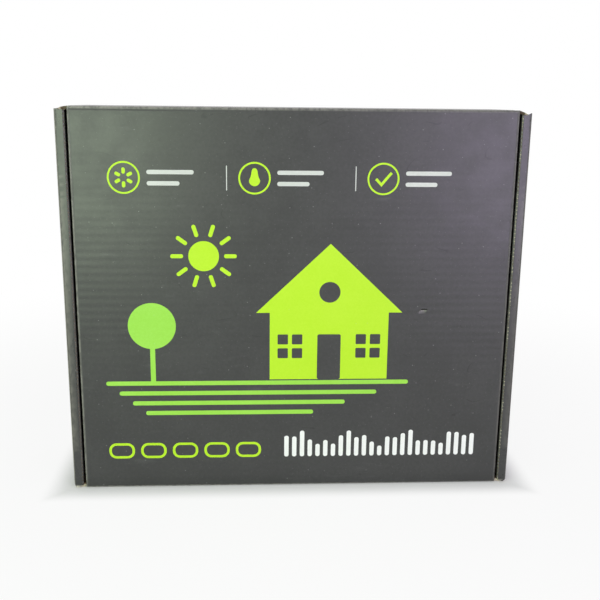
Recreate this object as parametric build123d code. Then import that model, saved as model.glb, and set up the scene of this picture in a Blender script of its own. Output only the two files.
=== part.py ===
from build123d import *
import os
from math import cos, radians, sin, tan

# A roll-end, tuck-front mailer box, folded from one die-cut sheet of corrugated board.
# It stands on its tuck wall, with the lid facing -Y and the lid's crease along the top edge.
# The sheet is cut in two at that crease only, because the lid turns on it.
# Millimetres, +Z up, origin at the middle of the standing face.

# Outside sizes of the closed box
box_width = 364.0
box_height = 310.0
box_depth = 100.0

# Board and its folds
board = 2.5
fold_radius = 2.3
layer_gap = 0.15
edge_gap = 0.3

# Rolled side walls
roll_outer_radius = 1.6
roll_inner_radius = 1.4
roll_end_radius = 4.8
wall_tail = 0.4
wall_head = 1.2
tail_relief = 8.0

# Locking tabs at the foot of each inner wall, and their slots in the base
tab_count = 2
tab_length = 36.0
tab_spacing = 150.0
tab_corner = 1.5
tab_recess = 0.4
slot_gap = 0.3

# Corner flaps, held between the layers of the rolled walls
corner_flap_length = 88.0
corner_flap_round = 12.0

# Front edges of the tuck wall and the hinge wall
tuck_edge_setback = 5.8
crease_gap = 0.2
notch_gap = 0.6

# Lid
lid_inset = 9.7
lid_edge_radius = 1.1
nose_lift = 0.3
nose_radius = 1.8

# Tuck flap: it leans past square, so that it swings clear of the tuck wall
tuck_flap_depth = 38.0
tuck_flap_lean = 4.7
tuck_flap_inset = 4.0
tuck_flap_round = 14.0

# Ears, folded in beside the rolled walls
ear_depth = 62.0
ear_lower_inset = 16.0
ear_upper_inset = 13.0
ear_taper = 9.0
ear_round = 18.0

half_width = box_width / 2
half_depth = box_depth / 2
roll_width = 3 * board + 2 * layer_gap
flap_face = half_width - board - layer_gap
wall_half = flap_face - fold_radius
inner_wall_face = half_width - roll_width
roll_setback = board + edge_gap
lid_half = half_width - lid_inset
lid_inner_y = board - half_depth
crease_y = board / 2 - half_depth
crease_z = box_height - board / 2


def folded_section(outside_corners, radii):
    """Section of the board along a path of outside corners, with each crease rounded.

    The board lies to the left of the path, and its inside corners are mitred.
    """
    outside = [Vector(*corner) for corner in outside_corners]
    runs = [(end - start).normalized() for start, end in zip(outside, outside[1:])]
    normals = [Vector(-run.Y, run.X) for run in runs]
    inside = [outside[0] + normals[0] * board]
    for corner, before, after in zip(outside[1:-1], normals, normals[1:]):
        inside.append(corner + (before + after) * (board / (1 + before.dot(after))))
    inside.append(outside[-1] + normals[-1] * board)
    section = Polygon(*outside, *reversed(inside), align=None)
    for corner, radius in zip(outside[1:-1], radii):
        section = fillet(section.vertices().sort_by_distance(corner)[0], radius)
    return section


def raised(section, low, high):
    """A plan section (X, Y) carried up from one height to another."""
    return Pos(0, 0, low) * extrude(section, amount=high - low, dir=(0, 0, 1))


def across(section, half_span):
    """A side section (Y, Z) carried across the box, the same amount to each side."""
    return extrude(Plane.YZ * section, amount=half_span, both=True)


def both_sides(right_hand):
    """A right-hand piece and its mirror image on the left."""
    return right_hand + mirror(right_hand, about=Plane.YZ)


def block(low, high):
    """A block between two opposite corners."""
    size = Vector(*high) - Vector(*low)
    return Pos(*low) * Box(*size, align=(Align.MIN, Align.MIN, Align.MIN))


def base_and_walls():
    """Tuck wall, base panel and hinge wall as one folded strip, notched where the tuck flap enters."""
    front = lid_inner_y + crease_gap
    path = [(front, 0), (half_depth, 0), (half_depth, box_height), (front, box_height)]
    strip = across(folded_section(path, [fold_radius, fold_radius]), wall_half)
    notch_half = lid_half + notch_gap
    tuck_seat = block(
        (-notch_half, front - board, -board),
        (notch_half, tuck_edge_setback - half_depth, box_height / 2),
    )
    return strip - tuck_seat


def corner_flap():
    """Upper right corner flap: folded off the hinge wall, into the rolled side wall."""
    path = [(flap_face, box_height - corner_flap_length), (flap_face, box_height), (wall_half, box_height)]
    section = folded_section(path, [fold_radius])
    reach = half_depth - board - edge_gap
    flap = extrude(Plane.XZ * section, amount=reach, both=True)
    free_corners = flap.edges().filter_by(Axis.X).group_by(Axis.Z)[0]
    return fillet(free_corners, corner_flap_round)


def rolled_wall():
    """Right side wall: up from the base, over the roll edge and down inside as a second layer."""
    path = [
        (inner_wall_face, half_depth - board - edge_gap),
        (inner_wall_face, -half_depth),
        (half_width, -half_depth),
        (half_width, half_depth),
        (wall_half, half_depth),
    ]
    section = folded_section(path, [roll_inner_radius, roll_outer_radius, fold_radius])
    rolled = raised(section, roll_setback, box_height - roll_setback)
    roll_edge = raised(section, wall_tail, box_height - wall_head) & roll_edge_outline()
    return rolled + roll_edge + wall_ends() + locking_tabs()


def roll_edge_outline():
    """Front view of the right roll edge: its ends slant from the inner layer's out to the outer layer's."""
    outline = Polygon(
        (inner_wall_face, roll_setback),
        (half_width - board, wall_tail),
        (half_width, wall_tail),
        (half_width, box_height - wall_head),
        (half_width - board, box_height - wall_head),
        (inner_wall_face, box_height - roll_setback),
        align=None,
    )
    return Pos(0, lid_inner_y, 0) * extrude(Plane.XZ * outline, amount=board, dir=(0, -1, 0))


def wall_ends():
    """The outer layer runs on past the roll at both ends, and covers the corner flaps' folds."""
    length = box_depth - tail_relief
    layer = Pos(half_width - board / 2, -half_depth + length / 2) * Rectangle(board, length)
    crease = layer.vertices().sort_by_distance((half_width, -half_depth))[0]
    return raised(fillet(crease, roll_outer_radius), wall_tail, box_height - wall_head)


def tab_heights():
    """Heights of the locking tabs' middles."""
    first = box_height / 2 - tab_spacing * (tab_count - 1) / 2
    return [first + tab_spacing * index for index in range(tab_count)]


def locking_tabs():
    """Tabs on the right inner wall's foot."""
    foot = half_depth - board - edge_gap
    drop = half_depth - tab_recess - foot
    outline = Rectangle(drop + board, tab_length)
    tip_corners = outline.vertices().group_by(Axis.X)[-1]
    outline = Pos(foot - board + (drop + board) / 2, 0) * fillet(tip_corners, tab_corner)
    tab = extrude(Plane.YZ * outline, amount=board, dir=(1, 0, 0))
    tabs = Part()
    for height in tab_heights():
        tabs += Pos(inner_wall_face, 0, height) * tab
    return tabs


def tab_slots():
    """Slots through the base for the right-hand tabs."""
    slots = Part()
    for height in tab_heights():
        half_slot = tab_length / 2 + slot_gap
        slots += block(
            (inner_wall_face - slot_gap, half_depth - 2 * board, height - half_slot),
            (inner_wall_face + board + slot_gap, half_depth + board, height + half_slot),
        )
    return slots


def roll_end_relief():
    """Waste outside the rounded lower end of the right roll edge."""
    depth = 2 * board
    square = Pos(half_width, wall_tail) * Rectangle(2 * roll_end_radius, 2 * roll_end_radius)
    disc = Pos(half_width - roll_end_radius, wall_tail + roll_end_radius) * Circle(roll_end_radius)
    keep = Pos(half_width - 2 * roll_end_radius, wall_tail) * Rectangle(2 * roll_end_radius, box_height)
    above = Pos(half_width, wall_tail + roll_end_radius + box_height / 2) * Rectangle(box_width, box_height)
    waste = square - disc - keep - above
    return Pos(0, depth - half_depth, 0) * extrude(Plane.XZ * waste, amount=2 * depth, dir=(0, -1, 0))


def make_tray():
    """Everything below the lid's crease."""
    upper_flaps = both_sides(corner_flap())
    middle = Plane.XY.offset(box_height / 2)
    sides = both_sides(rolled_wall() - roll_end_relief())
    panels = base_and_walls() - both_sides(tab_slots())
    return panels + upper_flaps + mirror(upper_flaps, about=middle) + sides


def lid_side_outline():
    """Side view of the lid: the panel with its rounded crease and nose, and an ear behind it."""
    panel_height = crease_z - nose_lift
    panel = Pos(crease_y, nose_lift + panel_height / 2) * Rectangle(board, panel_height)
    nose = panel.vertices().sort_by_distance((-half_depth, nose_lift))[0]
    crease = Pos(crease_y, crease_z) * Circle(board / 2)
    tip_y = ear_depth - half_depth
    slope = ear_depth * tan(radians(ear_taper))
    ear = Polygon(
        (crease_y, ear_lower_inset),
        (tip_y, ear_lower_inset + slope),
        (tip_y, box_height - ear_upper_inset - slope),
        (crease_y, box_height - ear_upper_inset),
        align=None,
    )
    ear = fillet(ear.vertices().group_by(Axis.X)[-1], ear_round)
    return fillet(nose, nose_radius) + crease + ear


def tuck_flap():
    """Flap along the foot of the lid, which tucks in behind the tuck wall."""
    root = Vector(tuck_edge_setback - half_depth - edge_gap, board + edge_gap)
    along = Vector(cos(radians(tuck_flap_lean)), sin(radians(tuck_flap_lean)))
    through = Vector(-along.Y, along.X) * board
    tip = root + along * tuck_flap_depth
    inner_root = root + through + along * ((crease_y - root.X) / along.X)
    section = Polygon(
        (lid_inner_y, nose_lift),
        (root.X, root.Y),
        (tip.X, tip.Y),
        ((tip + through).X, (tip + through).Y),
        (inner_root.X, inner_root.Y),
        align=None,
    )
    flap = across(section, lid_half - tuck_flap_inset)
    free_corners = [edge for edge in flap.edges() if edge.length < 2 * board]
    tip_edges = ShapeList(free_corners).group_by(Axis.Y)[-1]
    return fillet(tip_edges, tuck_flap_round)


def make_lid():
    """Lid panel, two ears and the tuck flap."""
    ear_foot = ear_depth - half_depth
    path = [(-lid_half, ear_foot), (-lid_half, -half_depth), (lid_half, -half_depth), (lid_half, ear_foot)]
    plan = folded_section(path, [lid_edge_radius, lid_edge_radius])
    folded = raised(plan, 0, box_height)
    return (folded & across(lid_side_outline(), half_width)) + tuck_flap()


pieces = {"tray": make_tray(), "lid": make_lid()}

os.makedirs("parts", exist_ok=True)
for name, piece in pieces.items():
    export_step(piece, f"parts/{name}.step")
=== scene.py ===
"""Looks of a corrugated mailer box: board, creases, print, studio light and camera. Metres, +Z up."""
import logging
import math
from dataclasses import dataclass, field
from enum import Enum, IntEnum
from typing import Iterable, Sequence

import bmesh
import bpy
from bmesh.types import BMEdge, BMesh, BMFace, BMVert
from mathutils import Matrix, Quaternion, Vector, noise
from mathutils.bvhtree import BVHTree


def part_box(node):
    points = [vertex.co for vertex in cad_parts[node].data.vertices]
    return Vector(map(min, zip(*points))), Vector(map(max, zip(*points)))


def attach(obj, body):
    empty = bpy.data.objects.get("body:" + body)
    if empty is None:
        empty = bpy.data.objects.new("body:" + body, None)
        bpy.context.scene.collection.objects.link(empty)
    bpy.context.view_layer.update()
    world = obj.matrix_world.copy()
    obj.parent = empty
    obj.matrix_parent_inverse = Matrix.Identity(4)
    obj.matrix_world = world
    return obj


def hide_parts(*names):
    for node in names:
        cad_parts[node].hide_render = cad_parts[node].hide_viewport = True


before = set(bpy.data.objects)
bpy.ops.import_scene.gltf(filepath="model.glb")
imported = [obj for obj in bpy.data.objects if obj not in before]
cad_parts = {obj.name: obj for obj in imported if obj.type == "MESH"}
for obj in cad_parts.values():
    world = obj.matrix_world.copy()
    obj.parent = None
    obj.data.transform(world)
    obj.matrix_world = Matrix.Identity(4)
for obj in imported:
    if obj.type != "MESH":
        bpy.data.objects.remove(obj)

LOG = logging.getLogger("mailer_box")
# Vertex layer of how far the paper colour shows: wear, and on the lid also painted highlights along its
# top and side edges.
WEAR_AND_HIGHLIGHT_LAYER = "wear"

MM = 0.001
WELD = 0.01 * MM
SNAP = 0.002 * MM

# Turns between neighbouring faces
FLAT_TURN = 0.002
SHARP_TURN = math.radians(32)
SOFT_TURN = math.radians(50)

# Cosines that tell how a face lies to an axis or to another face
FLAT_DOT = 0.99995
LEVEL_DOT = 0.99
TURNED_DOT = 0.93
STEEP_DOT = 0.9
SIDE_DOT = 0.5
SQUARE_DOT = 0.1

NORMAL_WEIGHT = 90

# Corner radii of bars and pills with round ends, as shares of their width
BAR_END = 0.48
PILL_END = 0.45

Triple = tuple[float, float, float]
Colour = tuple[float, float, float]
Point = tuple[float, float]


class Axis(IntEnum):
    """Axes of the shared frame."""

    X = 0
    Y = 1
    Z = 2

    @property
    def direction(self) -> Vector:
        """Unit vector along the axis."""
        return Vector(float(self == other) for other in Axis)


class BoardSide(IntEnum):
    """Layers of the board that a face can show; the value is the face's material slot."""

    PRINT = 0
    KRAFT = 1
    RAW = 2
    MEDIUM = 3


@dataclass(frozen=True)
class Band:
    """Two limits of a value, and the span that a value between them is mapped onto."""

    low: float
    high: float
    start: float = 0.0
    end: float = 1.0


@dataclass(frozen=True)
class Grain:
    """Soft noise on a surface.

    Attributes:
        size: size of a patch in metres.
        detail: octaves of finer noise.
        stretch: factors on the coordinates, below 1 for streaks along that axis.
    """

    size: float
    detail: float = 2.0
    stretch: Triple = (1, 1, 1)


@dataclass(frozen=True)
class Specks:
    """Scattered dots.

    Attributes:
        spacing: mean distance between places for a dot, in metres.
        radius: radius of a dot in metres.
        kept: share of the places that hold a dot.
        strength: how strongly a dot covers what is under it.
        core: share of the radius where the dot is whole.
        bold: share of those dots that show in full; the others are fainter.
    """

    spacing: float
    radius: float
    kept: float
    strength: float
    core: float = 0.4
    bold: float = 0.3


@dataclass(frozen=True)
class Hairlines:
    """Short fine scratches.

    Attributes:
        bends: noise whose middle value the scratches follow.
        width: share of the noise's range that a scratch takes up.
        patches: noise that says where scratches are.
        places: limits of that noise.
        strength: how dark a scratch is.
        core: share of the width where a scratch is whole.
    """

    bends: Grain = Grain(26 * MM, 1.0, (0.5, 1, 1))
    width: float = 0.006
    patches: Grain = Grain(15.6 * MM)
    places: Band = Band(0.56, 0.64)
    strength: float = 0.6
    core: float = 0.3


class Bench:
    """Node workbench for one procedural material."""

    def __init__(self, name: str) -> None:
        """Starts a material with its standard shader.

        Args:
            name: the material's name.
        """
        self.material = bpy.data.materials.new(name)
        self.material.use_nodes = True
        self.nodes = self.material.node_tree.nodes
        self.links = self.material.node_tree.links
        self.shader = self.nodes["Principled BSDF"]

    def add(self, kind: str, **settings: object) -> bpy.types.Node:
        """Adds a node.

        Args:
            kind: the node's type.
            settings: its properties.

        Returns:
            The new node.
        """
        node = self.nodes.new(kind)
        for key, value in settings.items():
            setattr(node, key, value)
        return node

    def feed(self, socket: bpy.types.NodeSocket, value: object) -> None:
        """Links an output to an input, or sets the input's own value.

        Args:
            socket: the input.
            value: an output socket or a plain value.
        """
        if isinstance(value, bpy.types.NodeSocket):
            self.links.new(value, socket)
        else:
            socket.default_value = value

    def where(self, stretch: Triple = (1, 1, 1)) -> bpy.types.NodeSocket:
        """Object coordinates.

        Args:
            stretch: factors along the axes.

        Returns:
            The coordinates' socket.
        """
        mapping = self.add("ShaderNodeMapping")
        mapping.inputs["Scale"].default_value = stretch
        self.feed(mapping.inputs["Vector"], self.add("ShaderNodeTexCoord").outputs["Object"])
        return mapping.outputs["Vector"]

    def unrolled(self) -> bpy.types.NodeSocket:
        """Object coordinates laid flat: on each side of the box, two of the three run along the face.

        Returns:
            The coordinates' socket.
        """
        flat = self.add("ShaderNodeCombineXYZ")
        for socket, mixed in zip(flat.inputs, ((1, 1, 0), (0, 1, 1))):
            product = self.add("ShaderNodeVectorMath", operation="DOT_PRODUCT")
            self.feed(product.inputs[0], self.where())
            self.feed(product.inputs[1], mixed)
            self.feed(socket, product.outputs["Value"])
        return flat.outputs[0]

    def clouds(self, grain: Grain) -> bpy.types.NodeSocket:
        """Soft noise around 0.5.

        Args:
            grain: the noise.

        Returns:
            The noise value's socket.
        """
        node = self.add("ShaderNodeTexNoise")
        node.inputs["Scale"].default_value = 1 / grain.size
        node.inputs["Detail"].default_value = grain.detail
        self.feed(node.inputs["Vector"], self.where(grain.stretch))
        return node.outputs[0]

    def maths(self, operation: str, first: object, second: object = 0.0) -> bpy.types.NodeSocket:
        """A sum, product or other operation.

        Args:
            operation: its name.
            first: an output socket or a number.
            second: another.

        Returns:
            The result's socket.
        """
        node = self.add("ShaderNodeMath", operation=operation)
        self.feed(node.inputs[0], first)
        self.feed(node.inputs[1], second)
        return node.outputs[0]

    def span(self, value: object, band: Band) -> bpy.types.NodeSocket:
        """Maps a value between two limits smoothly onto another span.

        Args:
            value: an output socket.
            band: the limits and the span.

        Returns:
            The mapped value's socket.
        """
        node = self.add("ShaderNodeMapRange", interpolation_type="SMOOTHSTEP")
        node.inputs["From Min"].default_value = band.low
        node.inputs["From Max"].default_value = band.high
        node.inputs["To Min"].default_value = band.start
        node.inputs["To Max"].default_value = band.end
        self.feed(node.inputs["Value"], value)
        return node.outputs[0]

    def blend(self, factor: object, first: object, second: object) -> bpy.types.NodeSocket:
        """Mixes two colours.

        Args:
            factor: share of the second colour.
            first: a colour or an output socket.
            second: another.

        Returns:
            The mixed colour's socket.
        """
        node = self.add("ShaderNodeMix", data_type="RGBA")
        colours = [socket for socket in node.inputs if socket.type == "RGBA"]
        self.feed(node.inputs["Factor"], factor)
        for socket, colour in zip(colours, (first, second)):
            self.feed(socket, (*colour, 1.0) if isinstance(colour, tuple) else colour)
        return next(socket for socket in node.outputs if socket.type == "RGBA")

    def dots(self, specks: Specks) -> bpy.types.NodeSocket:
        """Scattered dots.

        Args:
            specks: their size, number and strength.

        Returns:
            A mask that has that strength in the dots.
        """
        node = self.add("ShaderNodeTexVoronoi", voronoi_dimensions="2D")
        node.inputs["Scale"].default_value = 1 / specks.spacing
        self.feed(node.inputs["Vector"], self.unrolled())
        rim = specks.radius / specks.spacing
        dot = self.span(node.outputs["Distance"], Band(rim, specks.core * rim))
        chance = self.add("ShaderNodeSeparateColor")
        self.feed(chance.inputs[0], node.outputs["Color"])
        held = self.span(chance.outputs[0], Band(1 - specks.kept, 1 - specks.bold * specks.kept))
        return self.maths("MULTIPLY", self.maths("MULTIPLY", dot, held), specks.strength)

    def scratches(self, lines: Hairlines) -> bpy.types.NodeSocket:
        """Short fine scratches.

        Args:
            lines: their size, number and strength.

        Returns:
            A mask that has that strength in the scratches.
        """
        off = self.maths("ABSOLUTE", self.maths("SUBTRACT", self.clouds(lines.bends), 0.5))
        line = self.span(off, Band(lines.width, lines.core * lines.width))
        place = self.span(self.clouds(lines.patches), lines.places)
        return self.maths("MULTIPLY", self.maths("MULTIPLY", line, place), lines.strength)

    def wear(self) -> bpy.types.NodeSocket:
        """How far a point shows the paper colour, from 0 to 1: wear, and on the lid also painted
        highlight.
        """
        return self.add("ShaderNodeAttribute", attribute_name=WEAR_AND_HIGHLIGHT_LAYER).outputs["Fac"]

    def emboss(self, height: object, depth: float, strength: float) -> None:
        """Feeds a height map to the shader as fine bump.

        Args:
            height: the map's socket.
            depth: its height in metres.
            strength: how strongly it shows.
        """
        node = self.add("ShaderNodeBump")
        node.inputs["Strength"].default_value = strength
        node.inputs["Distance"].default_value = depth
        self.feed(node.inputs["Height"], height)
        self.feed(self.shader.inputs["Normal"], node.outputs["Normal"])

    def gloss(self, roughness: object, level: float) -> None:
        """Sets roughness and specular level."""
        self.feed(self.shader.inputs["Roughness"], roughness)
        self.feed(self.shader.inputs["Specular IOR Level"], level)

    def paint(self, colour: object) -> None:
        """Sets the base colour."""
        self.feed(self.shader.inputs["Base Color"], colour)


@dataclass(frozen=True)
class PrintedBoard:
    """Satin charcoal print on a white-top liner, dusty, and worn to the paper at its folds; on the lid
    the paper colour also serves as painted highlight along the top and side edges.

    Attributes:
        name: the material's name.
        roughness: its mean roughness.
        paper: colour of the paper under the print, also used for the lid's painted edge highlights.
        ink: colour of the print.
        faded: its colour where it is thin.
        scratch: colour of scratches.
        dust: colour of dust and scuffs.
        blotches: the print's broad unevenness.
        mottle: its fine unevenness.
        thinning: how far that thins the print.
        scuffs: noise of the scuffs.
        scuffing: how far that shows.
        hairlines: the scratches.
        fine_dust: small grains of dust.
        bold_dust: large grains.
        fray: noise of the worn folds.
        fraying: how far that breaks up the wear.
        sheen: noise of the varnish.
        sheen_swing: how far the roughness varies.
        worn_rough: how much rougher the worn folds are.
        level: specular level.
        tooth: the paper's tooth under the varnish.
        tooth_depth: its depth.
        tooth_strength: how strongly it shows.
    """

    name: str
    roughness: float
    paper: Colour = (0.6, 0.56, 0.48)
    ink: Colour = (0.0235, 0.0243, 0.0232)
    faded: Colour = (0.032, 0.0325, 0.0315)
    scratch: Colour = (0.008, 0.008, 0.008)
    dust: Colour = (0.4, 0.4, 0.4)
    blotches: Grain = Grain(45 * MM, 3.0)
    mottle: Grain = Grain(2.2 * MM)
    thinning: Band = Band(0.75, 1.3)
    scuffs: Grain = Grain(9 * MM, 4.0, (0.22, 1, 1))
    scuffing: Band = Band(0.66, 0.84, 0.0, 0.07)
    hairlines: Hairlines = Hairlines()
    fine_dust: Specks = Specks(5 * MM, 0.42 * MM, 0.55, 0.1)
    bold_dust: Specks = Specks(17 * MM, 0.5 * MM, 0.6, 0.34)
    fray: Grain = Grain(2.2 * MM, 4.0, (1, 1, 0.4))
    fraying: Band = Band(0.3, 0.6, 0.4, 1.0)
    sheen: Grain = Grain(14 * MM, 3.0)
    sheen_swing: Band = Band(0.3, 0.7, -0.03, 0.04)
    worn_rough: float = 0.3
    level: float = 0.6
    tooth: Grain = Grain(0.55 * MM, 3.0)
    tooth_depth: float = 0.012 * MM
    tooth_strength: float = 0.5

    def material(self) -> bpy.types.Material:
        """Builds the material."""
        bench = Bench(self.name)
        uneven = bench.maths("ADD", bench.clouds(self.blotches), bench.clouds(self.mottle))
        colour = bench.blend(bench.span(uneven, self.thinning), self.ink, self.faded)
        colour = bench.blend(bench.span(bench.clouds(self.scuffs), self.scuffing), colour, self.dust)
        colour = bench.blend(bench.scratches(self.hairlines), colour, self.scratch)
        dust = bench.maths("MAXIMUM", bench.dots(self.fine_dust), bench.dots(self.bold_dust))
        colour = bench.blend(dust, colour, self.dust)
        # Paper colour where the wear layer asks for it: real wear, and on the lid painted edge
        # highlights.
        worn = bench.maths("MULTIPLY", bench.wear(), bench.span(bench.clouds(self.fray), self.fraying))
        bench.paint(bench.blend(worn, colour, self.paper))
        swing = self.sheen_swing
        varnish = Band(swing.low, swing.high, self.roughness + swing.start, self.roughness + swing.end)
        rough = bench.span(bench.clouds(self.sheen), varnish)
        bench.gloss(bench.maths("ADD", rough, bench.maths("MULTIPLY", worn, self.worn_rough)), self.level)
        bench.emboss(bench.clouds(self.tooth), self.tooth_depth, self.tooth_strength)
        return bench.material


@dataclass(frozen=True)
class PaperLayer:
    """Bare paper with fibres: the inside liner, a cut edge or the fluted middle.

    Attributes:
        name: the material's name.
        colour: its light tone.
        shade: its dark tone.
        fleck: colour of its flecks.
        fibre: noise of its fibres.
        cloud: noise of its thick and thin places.
        tone: how far those show.
        flecks: its flecks.
        roughness: how its roughness follows the fibres.
        level: specular level.
        fibre_depth: height of the fibres.
        fibre_strength: how strongly they show.
    """

    name: str
    colour: Colour
    shade: Colour
    fleck: Colour
    fibre: Grain = Grain(0.9 * MM, 5.0, (0.12, 0.35, 1.0))
    cloud: Grain = Grain(30 * MM, 4.0)
    tone: Band = Band(0.7, 1.3)
    flecks: Specks = Specks(4 * MM, 0.35 * MM, 0.3, 0.5)
    roughness: Band = Band(0.3, 0.7, 0.78, 0.9)
    level: float = 0.22
    fibre_depth: float = 0.05 * MM
    fibre_strength: float = 0.6

    def material(self) -> bpy.types.Material:
        """Builds the material."""
        bench = Bench(self.name)
        fibre = bench.clouds(self.fibre)
        tone = bench.span(bench.maths("ADD", fibre, bench.clouds(self.cloud)), self.tone)
        colour = bench.blend(tone, self.shade, self.colour)
        bench.paint(bench.blend(bench.dots(self.flecks), colour, self.fleck))
        bench.gloss(bench.span(fibre, self.roughness), self.level)
        bench.emboss(fibre, self.fibre_depth, self.fibre_strength)
        return bench.material


@dataclass(frozen=True)
class InkFilm:
    """Bright ink, a little uneven, with the same satin varnish and dust as the board.

    Attributes:
        name: the material's name.
        colour: the ink's colour.
        thin: its colour where it is thin.
        dust: colour of dust.
        blotches: the ink's broad unevenness.
        mottle: its fine unevenness.
        thinning: how far that thins the ink.
        specks: grains of dust.
        sheen: noise of the varnish.
        roughness: how the roughness follows it.
        level: specular level.
        tooth: the paper's tooth under the varnish.
        tooth_depth: its depth.
        tooth_strength: how strongly it shows.
    """

    name: str
    colour: Colour
    thin: Colour
    dust: Colour = (0.5, 0.52, 0.45)
    blotches: Grain = Grain(30 * MM, 3.0)
    mottle: Grain = Grain(1.4 * MM)
    thinning: Band = Band(0.7, 1.35)
    specks: Specks = Specks(9 * MM, 0.4 * MM, 0.12, 0.35)
    sheen: Grain = Grain(12 * MM, 3.0)
    roughness: Band = Band(0.3, 0.7, 0.4, 0.47)
    level: float = 0.4
    tooth: Grain = Grain(0.55 * MM, 3.0)
    tooth_depth: float = 0.01 * MM
    tooth_strength: float = 0.5

    def material(self) -> bpy.types.Material:
        """Builds the material."""
        bench = Bench(self.name)
        uneven = bench.maths("ADD", bench.clouds(self.blotches), bench.clouds(self.mottle))
        colour = bench.blend(bench.span(uneven, self.thinning), self.colour, self.thin)
        bench.paint(bench.blend(bench.dots(self.specks), colour, self.dust))
        bench.gloss(bench.span(bench.clouds(self.sheen), self.roughness), self.level)
        bench.emboss(bench.clouds(self.tooth), self.tooth_depth, self.tooth_strength)
        return bench.material


CHARCOAL_TRAY = PrintedBoard("charcoal_tray", 0.29)
# The lid's paper colour is also the colour of the painted highlights on its top and side edges.
CHARCOAL_LID = PrintedBoard("charcoal_lid", 0.32, (0.42, 0.4, 0.36))
KRAFT = PaperLayer(
    "kraft_liner", (0.47, 0.3, 0.165), (0.41, 0.255, 0.135), (0.25, 0.14, 0.07),
    fibre=Grain(0.9 * MM, 5.0, (0.3, 0.5, 1.0)),
)
RAW = PaperLayer(
    "cut_edge", (0.6, 0.54, 0.43), (0.47, 0.41, 0.32), (0.28, 0.22, 0.15),
    fibre=Grain(0.9 * MM, 5.0),
)
MEDIUM = PaperLayer("fluted_medium", (0.21, 0.165, 0.115), (0.14, 0.108, 0.073), (0.09, 0.065, 0.04))


class Ink(Enum):
    """Inks of the print."""

    LIME = InkFilm("ink_lime", (0.47, 0.77, 0.01), (0.5, 0.79, 0.02))
    GREEN = InkFilm("ink_green", (0.31, 0.67, 0.06), (0.34, 0.7, 0.08))
    WHITE = InkFilm("ink_white", (0.87, 0.87, 0.86), (0.9, 0.9, 0.89))
    PALE = InkFilm("ink_pale", (0.6, 0.61, 0.59), (0.64, 0.65, 0.63))
    CHARCOAL = CHARCOAL_LID


@dataclass(frozen=True)
class Flutes:
    """The corrugation, which shows through the liners as a faint washboard.

    Attributes:
        pitch: distance from one flute to the next.
        rows: mesh rows to a flute.
        swell: half the height of the washboard.
        settle: mean depth of the washboard under the board's nominal face.
        patch: size of the areas that were pressed alike.
        unevenness: how much the washboard differs between such areas.
    """

    pitch: float = 6.2 * MM
    rows: int = 6
    swell: float = 0.016 * MM
    settle: float = 0.085 * MM
    patch: float = 60 * MM
    unevenness: float = 1.1

    @property
    def step(self) -> float:
        """Distance from one mesh row to the next."""
        return self.pitch / self.rows

    def levels(self, low: float, high: float) -> list[float]:
        """Heights of the mesh rows between two limits."""
        rows = range(math.floor(low / self.step) + 1, math.ceil(high / self.step))
        return [index * self.step for index in rows]

    def hollow(self, along: float, across: float) -> float:
        """Depth of the washboard at a point, measured along and across the flutes."""
        pressed = 1 + self.unevenness * noise.noise(Vector((along, across, 0)) / self.patch)
        return self.settle + self.swell * pressed * math.cos(math.tau * across / self.pitch)


def slice_faces(bm: BMesh, faces: Iterable[BMFace], axis: Axis, levels: Sequence[float]) -> None:
    """Cuts faces with planes square to an axis.

    Args:
        bm: the mesh.
        faces: the faces to cut.
        axis: the planes' normal.
        levels: the planes' places along the axis, lowest first.
    """
    waiting = list(faces)
    for level in levels:
        edges = {edge for face in waiting for edge in face.edges}
        verts = {vert for face in waiting for vert in face.verts}
        cut = bmesh.ops.bisect_plane(
            bm,
            geom=[*waiting, *edges, *verts],
            dist=SNAP,
            plane_co=axis.direction * level,
            plane_no=axis.direction,
        )
        found = [item for item in cut["geom"] if isinstance(item, BMFace)]
        waiting = [face for face in found if face.calc_center_median()[axis] > level]


def pull_ribbon(bm: BMesh, rungs: Sequence[tuple[Vector, Vector]]) -> None:
    """Draws a ribbon by pulling its end edge along.

    Args:
        bm: the mesh that takes it up.
        rungs: the two ends of that edge, for each place in turn.
    """
    edge = bm.edges.new([bm.verts.new(point) for point in rungs[0]])
    for rung in rungs[1:]:
        pulled = bmesh.ops.extrude_edge_only(bm, edges=[edge])["geom"]
        edge = next(item for item in pulled if isinstance(item, BMEdge))
        for vert, place in zip(edge.verts, rung):
            vert.co = place


def double_faces(bm: BMesh) -> list[BMVert]:
    """Gives all faces of an open mesh a second side, and returns its points, still to be moved."""
    raised = bmesh.ops.extrude_face_region(bm, geom=list(bm.faces))["geom"]
    return [item for item in raised if isinstance(item, BMVert)]


def reach(face: BMFace, axis: Axis) -> Point:
    """Lowest and highest place of a face along an axis."""
    places = [vert.co[axis] for vert in face.verts]
    return min(places), max(places)


def spread(low: float, high: float, margin: float, step: float) -> list[float]:
    """Places between two limits: one just inside each limit, and even steps between those.

    Args:
        low: lower limit.
        high: upper limit.
        margin: distance of the first and the last place from the limits.
        step: wanted length of a step.

    Returns:
        The places, lowest first.
    """
    first, last = low + margin, high - margin
    count = max(1, round((last - first) / step))
    return [first + (last - first) * index / count for index in range(count + 1)]


def mirrored(places: list[float]) -> list[float]:
    """Places to the right of the middle, together with their mirror images."""
    return [-place for place in reversed(places)] + places


def share(value: float) -> float:
    """A value held between 0 and 1."""
    return min(max(value, 0.0), 1.0)


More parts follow.
